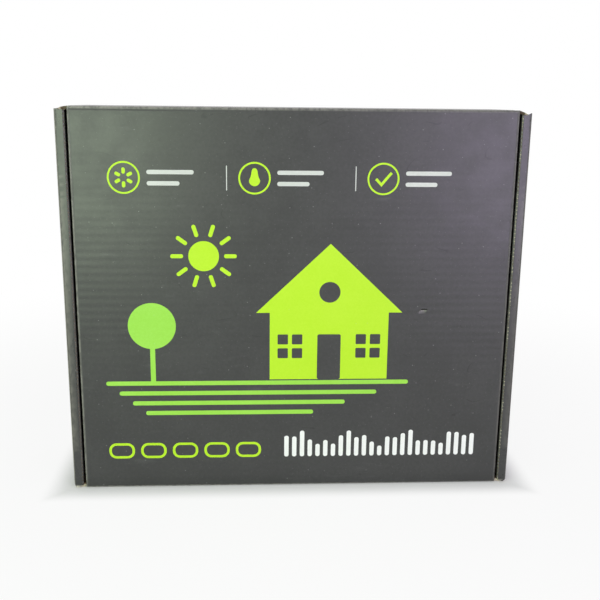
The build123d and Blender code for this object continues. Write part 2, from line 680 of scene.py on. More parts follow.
def place_piece(name: str, bm: BMesh, materials: Sequence[bpy.types.Material]) -> bpy.types.Object:
    """Turns a bmesh into an object of the scene, with smooth faces and sharp corners.

    Args:
        name: the piece's name.
        bm: the finished mesh, which is freed.
        materials: its material slots.

    Returns:
        The new object.
    """
    bm.normal_update()
    for face in bm.faces:
        face.smooth = True
    for edge in bm.edges:
        edge.smooth = edge.calc_face_angle(0.0) < SHARP_TURN
    mesh = bpy.data.meshes.new(name)
    bm.to_mesh(mesh)
    bm.free()
    piece = bpy.data.objects.new(name, mesh)
    for material in materials:
        mesh.materials.append(material)
    bpy.context.scene.collection.objects.link(piece)
    normals = piece.modifiers.new("weighted_normals", "WEIGHTED_NORMAL")
    normals.keep_sharp = True
    normals.weight = NORMAL_WEIGHT
    return piece


@dataclass
class Fluting:
    """The fluted middle of the board where a cut edge shows it: a wavy ribbon between the liners.

    Attributes:
        flutes: the board's corrugation.
        board: thickness of the board.
        liner: thickness of a liner.
        paper: thickness of the ribbon.
        recess: depth of the hollow between the liners.
        lip: how far the ribbon stays behind the cut.
        step: longest straight stretch of the ribbon.
        shortest: shortest face of a cut edge that is opened; tighter bends stay closed.
        filled: least share of its own box that such a face fills.
        slack: by what share it may differ from the board's thickness.
    """

    flutes: Flutes
    board: float
    liner: float = 0.28 * MM
    paper: float = 0.2 * MM
    recess: float = 1.2 * MM
    lip: float = 0.06 * MM
    step: float = 0.5 * MM
    shortest: float = 0.8 * MM
    filled: float = 0.6
    slack: float = 0.3
    bm: BMesh = field(default_factory=bmesh.new)

    def through(self, face: BMFace) -> Vector | None:
        """Finds the direction through the board at a cut edge.

        Args:
            face: a face of the sheet.

        Returns:
            The direction, or nothing where the face is no such edge.
        """
        layers = (BoardSide.PRINT, BoardSide.KRAFT)
        neighbours = [other for edge in face.edges for other in edge.link_faces]
        beside = [other for other in neighbours if other.material_index in layers]
        if face.material_index != BoardSide.RAW or not beside:
            return None
        direction = max(beside, key=BMFace.calc_area).normal.copy()
        square = abs(direction.dot(face.normal)) < SQUARE_DOT
        thick, long = (self.extent(face, way) for way in (direction, face.normal.cross(direction)))
        whole = face.calc_area() > self.filled * thick * long and long > self.shortest
        fits = abs(thick - self.board) < self.slack * self.board
        return direction if square and whole and fits else None

    def extent(self, face: BMFace, direction: Vector) -> float:
        """Size of a face along a direction."""
        places = [vert.co.dot(direction) for vert in face.verts]
        return max(places) - min(places)

    def draw(self, face: BMFace, through: Vector) -> None:
        """Draws the ribbon along one straight stretch of a cut edge.

        Args:
            face: the cut edge's face.
            through: direction through the board.
        """
        along = face.normal.cross(through)
        flute = Axis.Y if abs(through.x) > STEEP_DOT else Axis.X
        across = through.cross(flute.direction)
        middle = face.calc_center_bounds()
        start, end = self.stretch(face, along, middle)
        count = max(1, math.ceil((end - start) / self.step))
        wave = self.board / 2 - self.liner - self.paper
        rungs = []
        for index in range(count + 1):
            spot = middle + along * (start + (end - start) * index / count)
            spot += through * (wave * math.cos(math.tau * spot.dot(across) / self.flutes.pitch))
            rungs.append((spot - face.normal * self.lip, spot - face.normal * self.recess))
        pull_ribbon(self.bm, rungs)

    def stretch(self, face: BMFace, along: Vector, middle: Vector) -> Point:
        """Finds where the ribbon starts and ends: it runs on round soft bends and stops at corners.

        Args:
            face: the cut edge's face.
            along: direction of the ribbon.
            middle: the face's middle.

        Returns:
            Start and end, measured from the middle.
        """
        places = [(vert.co - middle).dot(along) for vert in face.verts]
        corners = set()
        for edge in face.edges:
            first, second = ((vert.co - middle).dot(along) for vert in edge.verts)
            crosswise = abs(second - first) < edge.calc_length() / 2
            if crosswise and edge.calc_face_angle(math.pi) > SHARP_TURN:
                corners.add(first + second > 0)
        start = min(places) + self.liner * (False in corners)
        end = max(places) - self.liner * (True in corners)
        return start, end

    def lay(self, name: str, body: str, slot: str) -> bpy.types.Object:
        """Gives the ribbons their thickness and sets them in the frame.

        Args:
            name: the piece's name.
            body: CAD body that it rides on.
            slot: name of a material slot; not used.

        Returns:
            The new object.
        """
        bmesh.ops.remove_doubles(self.bm, verts=self.bm.verts, dist=WELD)
        bmesh.ops.recalc_face_normals(self.bm, faces=self.bm.faces)
        self.bm.normal_update()
        side = self.bm.verts.layers.float_vector.new("side")
        for vert in self.bm.verts:
            vert[side] = vert.normal
        for vert in double_faces(self.bm):
            vert.co += vert[side] * self.paper
        self.bm.verts.layers.float_vector.remove(side)
        bmesh.ops.recalc_face_normals(self.bm, faces=self.bm.faces)
        piece = place_piece(name, self.bm, [MEDIUM.material()])
        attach(piece, body)
        return piece


@dataclass
class BoardSheet:
    """One folded part of the sheet, made from the CAD solid with its layers told apart.

    Attributes:
        node: CAD node that the piece stands for.
        body: CAD body that it rides on.
        slot: name of a material slot.
        facing: direction of its largest printed face.
        printed: finish of the printed side.
        flutes: the board's corrugation.
        board: thickness of the board.
        sight: how far behind a face its printed side is looked for, in boards.
        margin: width of the plain strip along each fold, where the washboard starts.
        narrowest: narrowest face that gets mesh columns, in margins.
        column: distance between mesh columns.
        wear: how worn the folds are.
        low: lowest corner of the CAD node.
        high: its highest corner.
    """

    node: str
    body: str
    slot: str
    facing: Vector
    printed: PrintedBoard
    flutes: Flutes = field(default_factory=Flutes)
    board: float = 2.5 * MM
    sight: float = 1.4
    margin: float = 1.4 * MM
    narrowest: int = 4
    column: float = 24 * MM
    wear: float = 0.3
    low: Vector = field(init=False)
    high: Vector = field(init=False)

    def __post_init__(self) -> None:
        """Reads the CAD node's box."""
        self.low, self.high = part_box(self.node)

    def build(self) -> list[bpy.types.Object]:
        """Makes the sheet and its fluting and sets them in the frame.

        Returns:
            The two objects.
        """
        fluting = Fluting(self.flutes, self.board)
        bm = bmesh.new()
        bm.from_mesh(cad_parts[self.node].data)
        bmesh.ops.remove_doubles(bm, verts=bm.verts, dist=WELD)
        self.sort_sides(bm)
        self.merge_flats(bm)
        self.open_edges(bm, fluting)
        self.add_columns(bm)
        self.add_rows(bm)
        self.press_flutes(bm)
        self.mark(bm)
        for folded in (bm, fluting.bm):
            self.settle(folded)
        self.note_wear(bm)
        finishes = (self.printed, KRAFT, RAW, MEDIUM)
        piece = place_piece(f"{self.node}_sheet", bm, [finish.material() for finish in finishes])
        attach(piece, self.body)
        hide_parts(self.node)
        return [piece, fluting.lay(f"{self.node}_fluting", self.body, self.slot)]

    def printable(self, face: BMFace) -> bool:
        """Whether the print may run on over this face."""
        return True

    def hidden(self, face: BMFace) -> bool:
        """Whether a face is shut in between layers."""
        return False

    def crushed(self, face: BMFace) -> bool:
        """Whether a cut edge is pressed shut, so that its fluting doesn't show."""
        return False

    def shown(self, face: BMFace) -> bool:
        """Whether a face is a liner that can be seen."""
        return face.material_index < BoardSide.RAW and not self.hidden(face)

    def in_front(self, face: BMFace) -> bool:
        """Whether a face lies in the box's front plane."""
        return face.normal.y < -FLAT_DOT and reach(face, Axis.Y)[1] < self.low.y + SNAP

    def mark(self, bm: BMesh) -> None:
        """Adds the marks that only this sheet has."""

    def settle(self, bm: BMesh) -> None:
        """Bends what has given way, in the sheet and in its fluting."""

    def sort_sides(self, bm: BMesh) -> None:
        """Gives each face its layer: print runs over soft folds, liner lies one board behind it.

        Args:
            bm: the sheet's mesh.
        """
        printed = {max(bm.faces, key=lambda face: face.calc_area() * face.normal.dot(self.facing))}
        waiting = list(printed)
        while waiting:
            for edge in waiting.pop().edges:
                if edge.calc_face_angle(math.pi) > SOFT_TURN:
                    continue
                for face in edge.link_faces:
                    if face not in printed and self.printable(face):
                        printed.add(face)
                        waiting.append(face)
        bm.faces.ensure_lookup_table()
        tree = BVHTree.FromBMesh(bm)
        for face in bm.faces:
            start = face.calc_center_median() - face.normal * SNAP
            behind = tree.ray_cast(start, -face.normal, self.sight * self.board)[2]
            lined = behind is not None and bm.faces[behind] in printed
            side = BoardSide.KRAFT if lined else BoardSide.RAW
            face.material_index = BoardSide.PRINT if face in printed else side

    def merge_flats(self, bm: BMesh) -> None:
        """Joins the triangles of each flat face."""
        bmesh.ops.dissolve_limit(
            bm, angle_limit=FLAT_TURN, verts=bm.verts, edges=bm.edges, delimit={"MATERIAL"}
        )

    def open_edges(self, bm: BMesh, fluting: Fluting) -> None:
        """Sinks the middle of each cut edge between its liners.

        Args:
            bm: the sheet's mesh.
            fluting: takes up the ribbon that shows there.
        """
        cut = []
        for face in bm.faces:
            through = fluting.through(face)
            if through is not None and not self.crushed(face):
                fluting.draw(face, through)
                cut.append(face)
        bmesh.ops.inset_region(
            bm,
            faces=cut,
            thickness=fluting.liner,
            depth=-fluting.recess,
            use_even_offset=True,
            use_boundary=True,
        )
        for face in cut:
            face.material_index = BoardSide.MEDIUM

    def add_columns(self, bm: BMesh) -> None:
        """Cuts the broad faces across the flutes, close to their folds and in even steps.

        Args:
            bm: the sheet's mesh.
        """
        for face in list(bm.faces):
            if not self.shown(face):
                continue
            axis = Axis.Y if abs(face.normal.x) > FLAT_DOT else Axis.X
            low, high = reach(face, axis)
            broad = high - low > self.narrowest * self.margin
            if broad and max(map(abs, face.normal)) > LEVEL_DOT:
                slice_faces(bm, [face], axis, spread(low, high, self.margin, self.column))

    def add_rows(self, bm: BMesh) -> None:
        """Cuts every outer face along the flutes.

        Args:
            bm: the sheet's mesh.
        """
        shown = [face for face in bm.faces if self.shown(face)]
        upright = [face for face in shown if abs(face.normal.z) < 1 - FLAT_DOT]
        lying = [face for face in shown if abs(face.normal.z) > LEVEL_DOT]
        slice_faces(bm, upright, Axis.Z, self.flutes.levels(self.low.z, self.high.z))
        slice_faces(bm, lying, Axis.Y, self.flutes.levels(self.low.y, self.high.y))

    def press_flutes(self, bm: BMesh) -> None:
        """Lowers the flat faces by the washboard; folds and cut edges stay.

        Args:
            bm: the sheet's mesh.
        """
        bm.normal_update()
        moves: list[tuple[BMVert, Vector]] = []
        for vert in bm.verts:
            first = vert.link_faces[0]
            level = all(
                face.normal.dot(first.normal) > FLAT_DOT and face.material_index == first.material_index
                for face in vert.link_faces
            )
            if level and self.shown(first):
                lying = abs(first.normal.z) > LEVEL_DOT
                along, across = (vert.co.x, vert.co.y) if lying else (vert.co.x + vert.co.y, vert.co.z)
                moves.append((vert, first.normal * -self.flutes.hollow(along, across)))
        for vert, move in moves:
            vert.co += move

    def wear_at(self, point: Vector, bend: float, cut: bool) -> float:
        """How worn a point is.

        Args:
            point: where it lies.
            bend: by what share it belongs to a fold.
            cut: whether it lies on a cut edge.

        Returns:
            The wear, from 0 to 1.
        """
        return self.wear * bend

    def note_wear(self, bm: BMesh) -> None:
        """Writes down how worn each point is, and on the lid where a highlight is painted.

        Args:
            bm: the finished mesh of the sheet.
        """
        bm.normal_update()
        layer = bm.verts.layers.float.new(WEAR_AND_HIGHLIGHT_LAYER)
        for vert in bm.verts:
            turned = [max(map(abs, face.normal)) < TURNED_DOT for face in vert.link_faces]
            cut = any(face.material_index == BoardSide.RAW for face in vert.link_faces)
            vert[layer] = self.wear_at(vert.co, sum(turned) / len(turned), cut)


@dataclass
class Tray(BoardSheet):
    """Base, walls and rolled sides.

    Attributes:
        roll: width of the rolled sides.
        shut_in: depths between which their faces are shut in, in boards.
        slant: least slant of a rounded end.
        slit_reach: how far the cuts of the perforated crease reach over the inner bend.
        slit_depth: depth of such a cut.
        slit_rim: width of its walls.
        slit_rows: mesh rows from one cut to the next.
        slit_turn: least and greatest forward part of a normal on the inner bend.
        rub: how worn the outer edges of the rolled sides are, left and right.
        rub_width: width of those edges, in boards.
        bend_paper_share: how much of the paper colour their inner bends show, left and right, more on the
            right.
        tip_rub: how worn their lower ends are.
        tip_reach: how far up that wear goes.
        tip_span: how far out from the inner bend it goes, left and right.
        shoulder: where the walls' upper corners start to sag, from the middle.
        notch: where they sag most.
        sag: how far they sag, left and right.
        sag_tip: which share of that the foremost outer corners sag.
        sag_reach: how far back the corners sag.
        sag_fade: how steeply that fades towards the back, from full at the front.
        sag_columns: mesh columns in each of them.
        sag_rows: mesh rows from front to back.
        sag_crowding: how far those rows crowd to the front.
    """

    roll: float = 7.8 * MM
    shut_in: Point = (0.9, 2.2)
    slant: float = 0.02
    slit_reach: float = 1.1 * MM
    slit_depth: float = 0.35 * MM
    slit_rim: float = 0.08 * MM
    slit_rows: int = 3
    slit_turn: Point = (0.2, 0.98)
    rub: Point = (0.36, 0.16)
    rub_width: float = 0.7
    # The right strip's inner bend gets more paper colour than the left's.
    bend_paper_share: Point = (0.2, 0.3)
    tip_rub: float = 1.0
    tip_reach: float = 2.6 * MM
    tip_span: Point = (7.8 * MM, 3.2 * MM)
    shoulder: float = 172.4 * MM
    notch: float = 178.4 * MM
    sag: Point = (1.0 * MM, 2.2 * MM)
    sag_tip: Point = (1.0, 0.1)
    sag_reach: float = 34 * MM
    sag_fade: float = 1.3
    sag_columns: int = 8
    sag_rows: int = 12
    sag_crowding: float = 1.5

    @property
    def sag_height(self) -> float:
        """How far down the upper corners sag."""
        return 2 * self.roll

    def printable(self, face: BMFace) -> bool:
        """The rounded lower ends of the roll edges are cut, not printed."""
        outside = abs(face.calc_center_median().x) > self.high.x - self.board
        slanted = min(abs(face.normal.x), abs(face.normal.z)) > self.slant
        return not (outside and slanted)

    def hidden(self, face: BMFace) -> bool:
        """Faces between the layers of the rolled sides."""
        depth = self.high.x - abs(face.calc_center_median().x)
        least, most = (boards * self.board for boards in self.shut_in)
        return abs(face.normal.x) > SIDE_DOT and least < depth < most

    def crushed(self, face: BMFace) -> bool:
        """The front corners, beside the lid's own, are pressed shut."""
        middle = face.calc_center_median()
        return abs(middle.x) > self.shoulder and middle.y < self.low.y + 2 * self.board

    def upper(self, bm: BMesh) -> list[BMFace]:
        """Faces that reach up to where the corners sag."""
        return [face for face in bm.faces if reach(face, Axis.Z)[1] > self.high.z - self.sag_height]

    def add_rows(self, bm: BMesh) -> None:
        """Also cuts the upper corners into columns and rows, so that they can sag.

        Args:
            bm: the sheet's mesh.
        """
        super().add_rows(bm)
        width = self.high.x - self.shoulder
        columns = [self.shoulder + width * index / self.sag_columns for index in range(self.sag_columns)]
        slice_faces(bm, self.upper(bm), Axis.X, mirrored(columns))
        parts = [(index + 1) / self.sag_rows for index in range(self.sag_rows)]
        rows = [self.low.y + self.sag_reach * part ** self.sag_crowding for part in parts]
        slice_faces(bm, self.upper(bm), Axis.Y, rows)

    def wear_at(self, point: Vector, bend: float, cut: bool) -> float:
        """The outer edges of the rolled sides are worn, their inner bends show some paper colour, more on
        the right, and their lower ends show the paper.

        Args:
            point: where it lies.
            bend: by what share it belongs to a fold.
            cut: whether it lies on a cut edge.

        Returns:
            The wear, from 0 to 1.
        """
        if point.y > self.low.y + self.board:
            return self.wear * bend
        paper_shows = 1 - (point.z - self.low.z) / self.tip_reach
        near = abs(point.x) < self.high.x - self.roll + self.tip_span[point.x > 0]
        if paper_shows > 0 and near and (cut or point.y < self.low.y + self.board / 2):
            return self.tip_rub * min(1.0, 2 * paper_shows)
        outside = abs(point.x) > self.high.x - self.rub_width * self.board
        return bend * (self.rub if outside else self.bend_paper_share)[point.x > 0]

    def mark(self, bm: BMesh) -> None:
        """Opens the cuts of the perforated crease: on the right strip about half of them show the pale
        cut paper, the rest and all on the left the dark fluting.

        Args:
            bm: the sheet's mesh.
        """
        inner = self.high.x - self.roll
        least, most = self.slit_turn
        cuts = []
        for face in bm.faces:
            middle = face.calc_center_median()
            on_bend = abs(middle.x) - inner < self.slit_reach and middle.y < self.low.y + self.slit_reach
            turned = least < -face.normal.y < most and abs(face.normal.x) > least
            if on_bend and turned and math.floor(middle.z / self.flutes.step) % self.slit_rows == 0:
                cuts.append(face)
        bmesh.ops.inset_region(bm, faces=cuts, thickness=self.slit_rim, depth=-self.slit_depth)
        for face in cuts:
            middle = face.calc_center_median()
            # Cuts on the right strip show the pale cut paper in patches; on the left they all show the
            # dark fluting.
            paper_shows = middle.x > 0 and noise.noise(middle / self.roll) > 0
            face.material_index = BoardSide.RAW if paper_shows else BoardSide.MEDIUM

    def settle(self, bm: BMesh) -> None:
        """Presses down the walls' upper corners."""
        for vert in bm.verts:
            vert.co.z -= self.sag_at(vert.co)

    def sag_at(self, point: Vector) -> float:
        """How far a point of the upper corners has sunk, most of all just behind the roll edge.

        Args:
            point: where it lies.

        Returns:
            The depth.
        """
        place, behind = abs(point.x), point.y - self.low.y
        inside = share((place - self.shoulder) / (self.notch - self.shoulder))
        outside = share((place - self.notch) / (self.high.x - self.notch))
        kept = 1 - (1 - self.sag_tip[point.x > 0]) * outside * share(1 - behind / self.board)
        back = share(self.sag_fade * (1 - behind / self.sag_reach))
        up = share((point.z - self.high.z) / self.sag_height + 1)
        return self.sag[point.x > 0] * inside * kept * back * up


@dataclass
class Lid(BoardSheet):
    """Lid panel with its ears and tuck flap.

    Attributes:
        crease_print: how far in the print runs on the rounded crease, in boards.
        groove_drop: distance of the crease's groove under the top edge.
        groove: depth of the groove at its deep end.
        groove_width: half its width.
        groove_fade: how fast it fades to the right.
        groove_jitter: how uneven its depth is.
        groove_patch: length of its uneven places.
        dent: place of a small dent on the panel, as x and z.
        dent_size: half the width and the height of the dent.
        dent_depth: its depth under its steep upper edge.
        dent_edge: height of that edge, as a share of the dent's height.
        dent_lean: how far its upper edge is shifted to the right.
        dent_ends: how squarely the dent and the torn line end at their sides.
        dent_room: heights of the dent from its middle to the end of the fine mesh.
        dent_rub: how worn the dent is.
        tear: depth of the torn line over the dent.
        tear_rise: its height over the dent's middle, as a share of the dent's height.
        tear_shift: how far it is shifted to the right, in leans of the dent.
        tear_steep: how steep its sides are.
        fine_steps: fine mesh steps to each side of the dent and the groove.
        crease_wear_and_highlight: paper colour on the top edge, left and right: partly wear, partly a
            painted highlight.
        crease_width: how far down that wear and painted highlight go.
        side_painted_highlight: painted highlight in paper colour along the side edges, left and right.
        side_width: how far in that painted highlight goes.
        corner_rub: how worn the lower corners are.
        corner_rise: how far up that wear goes, in boards.
        crush: how far the panel's side edges are pressed down.
        crush_width: width of those pressed edges.
        crush_columns: mesh columns in them.
        skin: depth within which a point counts as the panel's face, in boards.
    """

    crease_print: float = 0.65
    groove_drop: float = 2.6 * MM
    groove: float = 0.2 * MM
    groove_width: float = 0.36 * MM
    groove_fade: float = 3.0
    groove_jitter: float = 0.15
    groove_patch: float = 20 * MM
    dent: Point = (103.2 * MM, 150.4 * MM)
    dent_size: Point = (2.8 * MM, 2.9 * MM)
    dent_depth: float = 0.75 * MM
    dent_edge: float = 0.12
    dent_lean: float = 1.5 * MM
    dent_ends: int = 5
    dent_room: float = 1.5
    dent_rub: float = 0.42
    tear: float = 1.5 * MM
    tear_rise: float = 0.75
    tear_shift: float = 1.1
    tear_steep: float = 8.0
    fine_steps: int = 8
    # Top edge in paper colour: partly wear, partly a painted highlight, stronger at the left.
    crease_wear_and_highlight: Point = (0.56, 0.18)
    crease_width: float = 2.3 * MM
    # Side edges in paper colour as a painted highlight, stronger at the left.
    side_painted_highlight: Point = (0.65, 0.28)
    side_width: float = 2.0 * MM
    corner_rub: float = 0.9
    corner_rise: float = 0.6
    crush: float = 0.3 * MM
    crush_width: float = 1.3 * MM
    crush_columns: int = 6
    skin: float = 0.2

    def printable(self, face: BMFace) -> bool:
        """The inner half of the rounded crease shows the liner."""
        middle = face.calc_center_median()
        below = middle.z < self.high.z - self.board / 2
        return below or middle.y < self.low.y + self.crease_print * self.board

    def add_columns(self, bm: BMesh) -> None:
        """Also adds fine columns along the pressed side edges.

        Args:
            bm: the sheet's mesh.
        """
        super().add_columns(bm)
        panel = [face for face in bm.faces if self.in_front(face)]
        inner = self.high.x - self.board / 2 - self.crush_width
        count = self.crush_columns
        columns = [inner + self.crush_width * index / count for index in range(count + 1)]
        slice_faces(bm, panel, Axis.X, mirrored(columns))

    def by_dent(self, face: BMFace) -> bool:
        """Whether a face of the panel holds a part of the dent."""
        (x, z), room = self.dent, self.dent_room * self.dent_size[1]
        (low, high), (left, right) = reach(face, Axis.Z), reach(face, Axis.X)
        return high > z - room and low < z + room and left < x < right

    def add_rows(self, bm: BMesh) -> None:
        """Also adds a fine mesh round the dent and the groove.

        Args:
            bm: the sheet's mesh.
        """
        super().add_rows(bm)
        (x, z), (half, height) = self.dent, self.dent_size
        top = self.high.z - self.groove_drop
        parts = [step / self.fine_steps for step in range(-self.fine_steps, self.fine_steps + 1)]
        panel = [face for face in bm.faces if self.in_front(face)]
        near = [face for face in panel if self.by_dent(face)]
        upper = [face for face in panel if reach(face, Axis.Z)[1] > top - 3 * self.groove_width]
        slice_faces(bm, near, Axis.X, [x + 2 * half * part for part in parts])
        slice_faces(bm, upper, Axis.Z, [top + 2 * self.groove_width * part for part in parts])
        spot = Vector((x, self.low.y, z))
        near = [
            face for face in bm.faces
            if self.in_front(face) and (face.calc_center_median() - spot).length < 2 * height
        ]
        slice_faces(bm, near, Axis.Z, [z + height * part for part in parts])

    def wear_at(self, point: Vector, bend: float, cut: bool) -> float:
        """The panel's top edge is worn and has a painted highlight, its side edges have a painted
        highlight, its dent is scuffed, and its lower corners show the paper.

        Args:
            point: where it lies.
            bend: by what share it belongs to a fold.
            cut: whether it lies on a cut edge.

        Returns:
            The wear and painted highlight, from 0 to 1.
        """
        low = point.z < self.low.z + self.corner_rise * self.board
        if cut and low and abs(point.x) > self.high.x - self.board:
            return self.corner_rub
        if point.y > self.low.y + self.board:
            return self.wear * bend
        top = share(2 + 2 * (point.z - self.high.z) / self.crease_width)
        side = share(1 + (abs(point.x) - self.high.x) / self.side_width)
        scuffed = self.dent_rub * self.dent_at(point) / self.dent_depth
        rightward = share(0.5 + 0.5 * point.x / self.high.x)
        # Top edge: wear and painted highlight; side edges: painted highlight; both stronger at the left.
        edge_wear_and_highlight = [
            (left + (right - left) * rightward) * near
            for (left, right), near in ((self.crease_wear_and_highlight, top), (self.side_painted_highlight, side))
        ]
        return max(self.wear * bend, scuffed, *edge_wear_and_highlight)

    def mark(self, bm: BMesh) -> None:
        """Presses the crease's groove, the dent and the side edges into the panel.

        Args:
            bm: the sheet's mesh.
        """
        skin = self.low.y + self.skin * self.board
        for vert in bm.verts:
            if vert.co.y < skin and all(face.normal.y < -STEEP_DOT for face in vert.link_faces):
                vert.co.y += self.groove_at(vert.co) + self.dent_at(vert.co) + self.tear_at(vert.co)
            vert.co.y += self.crush_at(vert.co)

    def groove_at(self, point: Vector) -> float:
        """Depth of the crease's groove, which fades to the right.

        Args:
            point: where it is asked for.

        Returns:
            The depth.
        """
        off = (point.z - self.high.z + self.groove_drop) / self.groove_width
        across = (point.x - self.low.x) / (self.high.x - self.low.x)
        uneven = self.groove_jitter * noise.noise(Vector((point.x / self.groove_patch, 0, 0)))
        fade = math.exp(-self.groove_fade * across) + uneven
        return self.groove * fade * math.exp(-off * off)

    def crush_at(self, point: Vector) -> float:
        """How far a point on the side edges' front half is pressed down.

        Args:
            point: where it lies.

        Returns:
            The depth.
        """
        front = max(0.0, 1 - (point.y - self.low.y) / (self.board / 2))
        rise = (abs(point.x) - self.high.x + self.board / 2) / self.crush_width + 1
        return self.crush * front * share(rise) ** 2

    def dent_at(self, point: Vector) -> float:
        """Depth of the dent: a steep step at its upper edge and a ramp below.

        Args:
            point: where it is asked for.

        Returns:
            The depth.
        """
        half, height = self.dent_size
        rise = (point.z - self.dent[1]) / height + 0.5
        aside = (point.x - self.dent[0] - self.dent_lean * (rise - 0.5)) / half
        step = max(0.0, (1 + self.dent_edge - rise) / self.dent_edge)
        ramp = min(max(rise, 0.0), step)
        return self.dent_depth * ramp * max(0.0, 1 - abs(aside) ** self.dent_ends)

    def tear_at(self, point: Vector) -> float:
        """Depth of the torn line over the dent, which runs on a little past it to the right.

        Args:
            point: where it is asked for.

        Returns:
            The depth.
        """
        half, height = self.dent_size
        off = abs((point.z - self.dent[1]) / height - self.tear_rise)
        aside = (point.x - self.dent[0] - self.tear_shift * self.dent_lean) / half
        return self.tear * share(1 - self.tear_steep * off) * share(1 - abs(aside) ** self.dent_ends)


@dataclass
class Stencil:
    """Shapes of one ink, cut flat in the lid's plane and laid on the washboard as a thin film.

    Attributes:
        name: the piece's name.
        ink: its ink.
        lid: the sheet that carries it.
        layer: place in the stack of inks, 1 on the board and 2 over another ink.
        film: thickness of one layer.
        corner_steps: mesh steps in a rounded corner.
        round_steps: mesh steps round a disc.
        waist: how far a drop narrows below its tip.
    """

    name: str
    ink: Ink
    lid: Lid
    layer: int = 1
    film: float = 0.018 * MM
    corner_steps: int = 6
    round_steps: int = 56
    waist: float = 0.3
    bm: BMesh = field(default_factory=bmesh.new)

    def stand(self, x: float, z: float, turn: float = 0.0) -> Matrix:
        """Matrix from a flat drawing to the lid's plane."""
        upright = Matrix.Rotation(math.pi / 2, 4, "X")
        return Matrix.Translation((x, 0, z)) @ Matrix.Rotation(-turn, 4, "Y") @ upright

    def bar(self, place: Point, size: Point, corner: float, turn: float = 0.0) -> BMFace:
        """A bar with rounded corners.

        Args:
            place: its middle.
            size: its length and width.
            corner: radius of its corners.
            turn: how far it is turned.

        Returns:
            The new face.
        """
        known = set(self.bm.faces)
        shape = self.stand(*place, turn) @ Matrix.Diagonal((*size, 1, 1))
        grid = bmesh.ops.create_grid(self.bm, x_segments=1, y_segments=1, size=0.5, matrix=shape)
        bmesh.ops.bevel(
            self.bm,
            geom=grid["verts"],
            offset=corner,
            affect="VERTICES",
            segments=self.corner_steps,
            profile=0.5,
            material=-1,
        )
        return next(face for face in self.bm.faces if face not in known)

    def wheel(self, hub: Point, out: float, turns: Sequence[float], size: Point, corner: float) -> None:
        """Bars like spokes about a point.

        Args:
            hub: that point.
            out: distance of the bars' middles from it.
            turns: the bars' directions.
            size: their length and width.
            corner: radius of their corners.
        """
        for turn in turns:
            middle = (hub[0] + out * math.cos(turn), hub[1] + out * math.sin(turn))
            self.bar(middle, size, corner, turn)

    def disc(self, x: float, z: float, radius: float) -> BMFace:
        """A round spot.

        Args:
            x: its middle across the lid.
            z: its height.
            radius: its radius.

        Returns:
            The new face.
        """
        circle = bmesh.ops.create_circle(
            self.bm, cap_ends=True, radius=radius, segments=self.round_steps, matrix=self.stand(x, z)
        )
        return circle["verts"][0].link_faces[0]

    def hollow_out(self, face: BMFace, stroke: float) -> None:
        """Leaves only the outline of a shape.

        Args:
            face: the shape.
            stroke: width of the outline.
        """
        bmesh.ops.inset_region(
            self.bm, faces=[face], thickness=stroke, use_even_offset=True, use_boundary=True
        )
        bmesh.ops.delete(self.bm, geom=[face], context="FACES")

    def outline(self, points: Sequence[Point]) -> None:
        """A shape with straight sides."""
        self.bm.faces.new([self.bm.verts.new((x, 0, z)) for x, z in points])

    def stroke(self, points: Sequence[Point], width: float) -> None:
        """A line with mitred bends.

        Args:
            points: its bends and ends.
            width: its width.
        """
        path = [Vector((x, 0, z)) for x, z in points]
        runs = [(end - start).normalized() for start, end in zip(path, path[1:])]
        rungs = []
        for point, before, after in zip(path, [runs[0], *runs], [*runs, runs[-1]]):
            along = (before + after).normalized()
            side = Vector((-along.z, 0, along.x)) * (width / 2 / along.dot(before))
            rungs.append((point - side, point + side))
        pull_ribbon(self.bm, rungs)

    def drop(self, x: float, z: float, radius: float, height: float) -> None:
        """A drop: a disc with its upper half drawn out to a tip.

        Args:
            x: the disc's middle across the lid.
            z: its height.
            radius: its radius.
            height: distance of the tip over its middle.
        """
        for vert in self.disc(x, z, radius).verts:
            rise = max(0.0, (vert.co.z - z) / radius)
            vert.co.z += rise * (height - radius)
            vert.co.x = x + (vert.co.x - x) * (1 - self.waist * math.sin(math.pi * rise))

    def lay(self) -> bpy.types.Object:
        """Presses the shapes onto the lid and gives them their thickness.

        Returns:
            The new object.
        """
        heights = [vert.co.z for vert in self.bm.verts]
        flutes = self.lid.flutes
        slice_faces(self.bm, self.bm.faces, Axis.Z, flutes.levels(min(heights), max(heights)))
        front = self.lid.low.y
        for vert in self.bm.verts:
            vert.co.y = front + flutes.hollow(vert.co.x + front, vert.co.z) + self.film / 2
        lifted = double_faces(self.bm)
        bmesh.ops.translate(self.bm, verts=lifted, vec=(0, -self.film * (self.layer + 0.5), 0))
        bmesh.ops.recalc_face_normals(self.bm, faces=self.bm.faces)
        piece = place_piece(self.name, self.bm, [self.ink.value.material()])
        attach(piece, self.lid.body)
        return piece


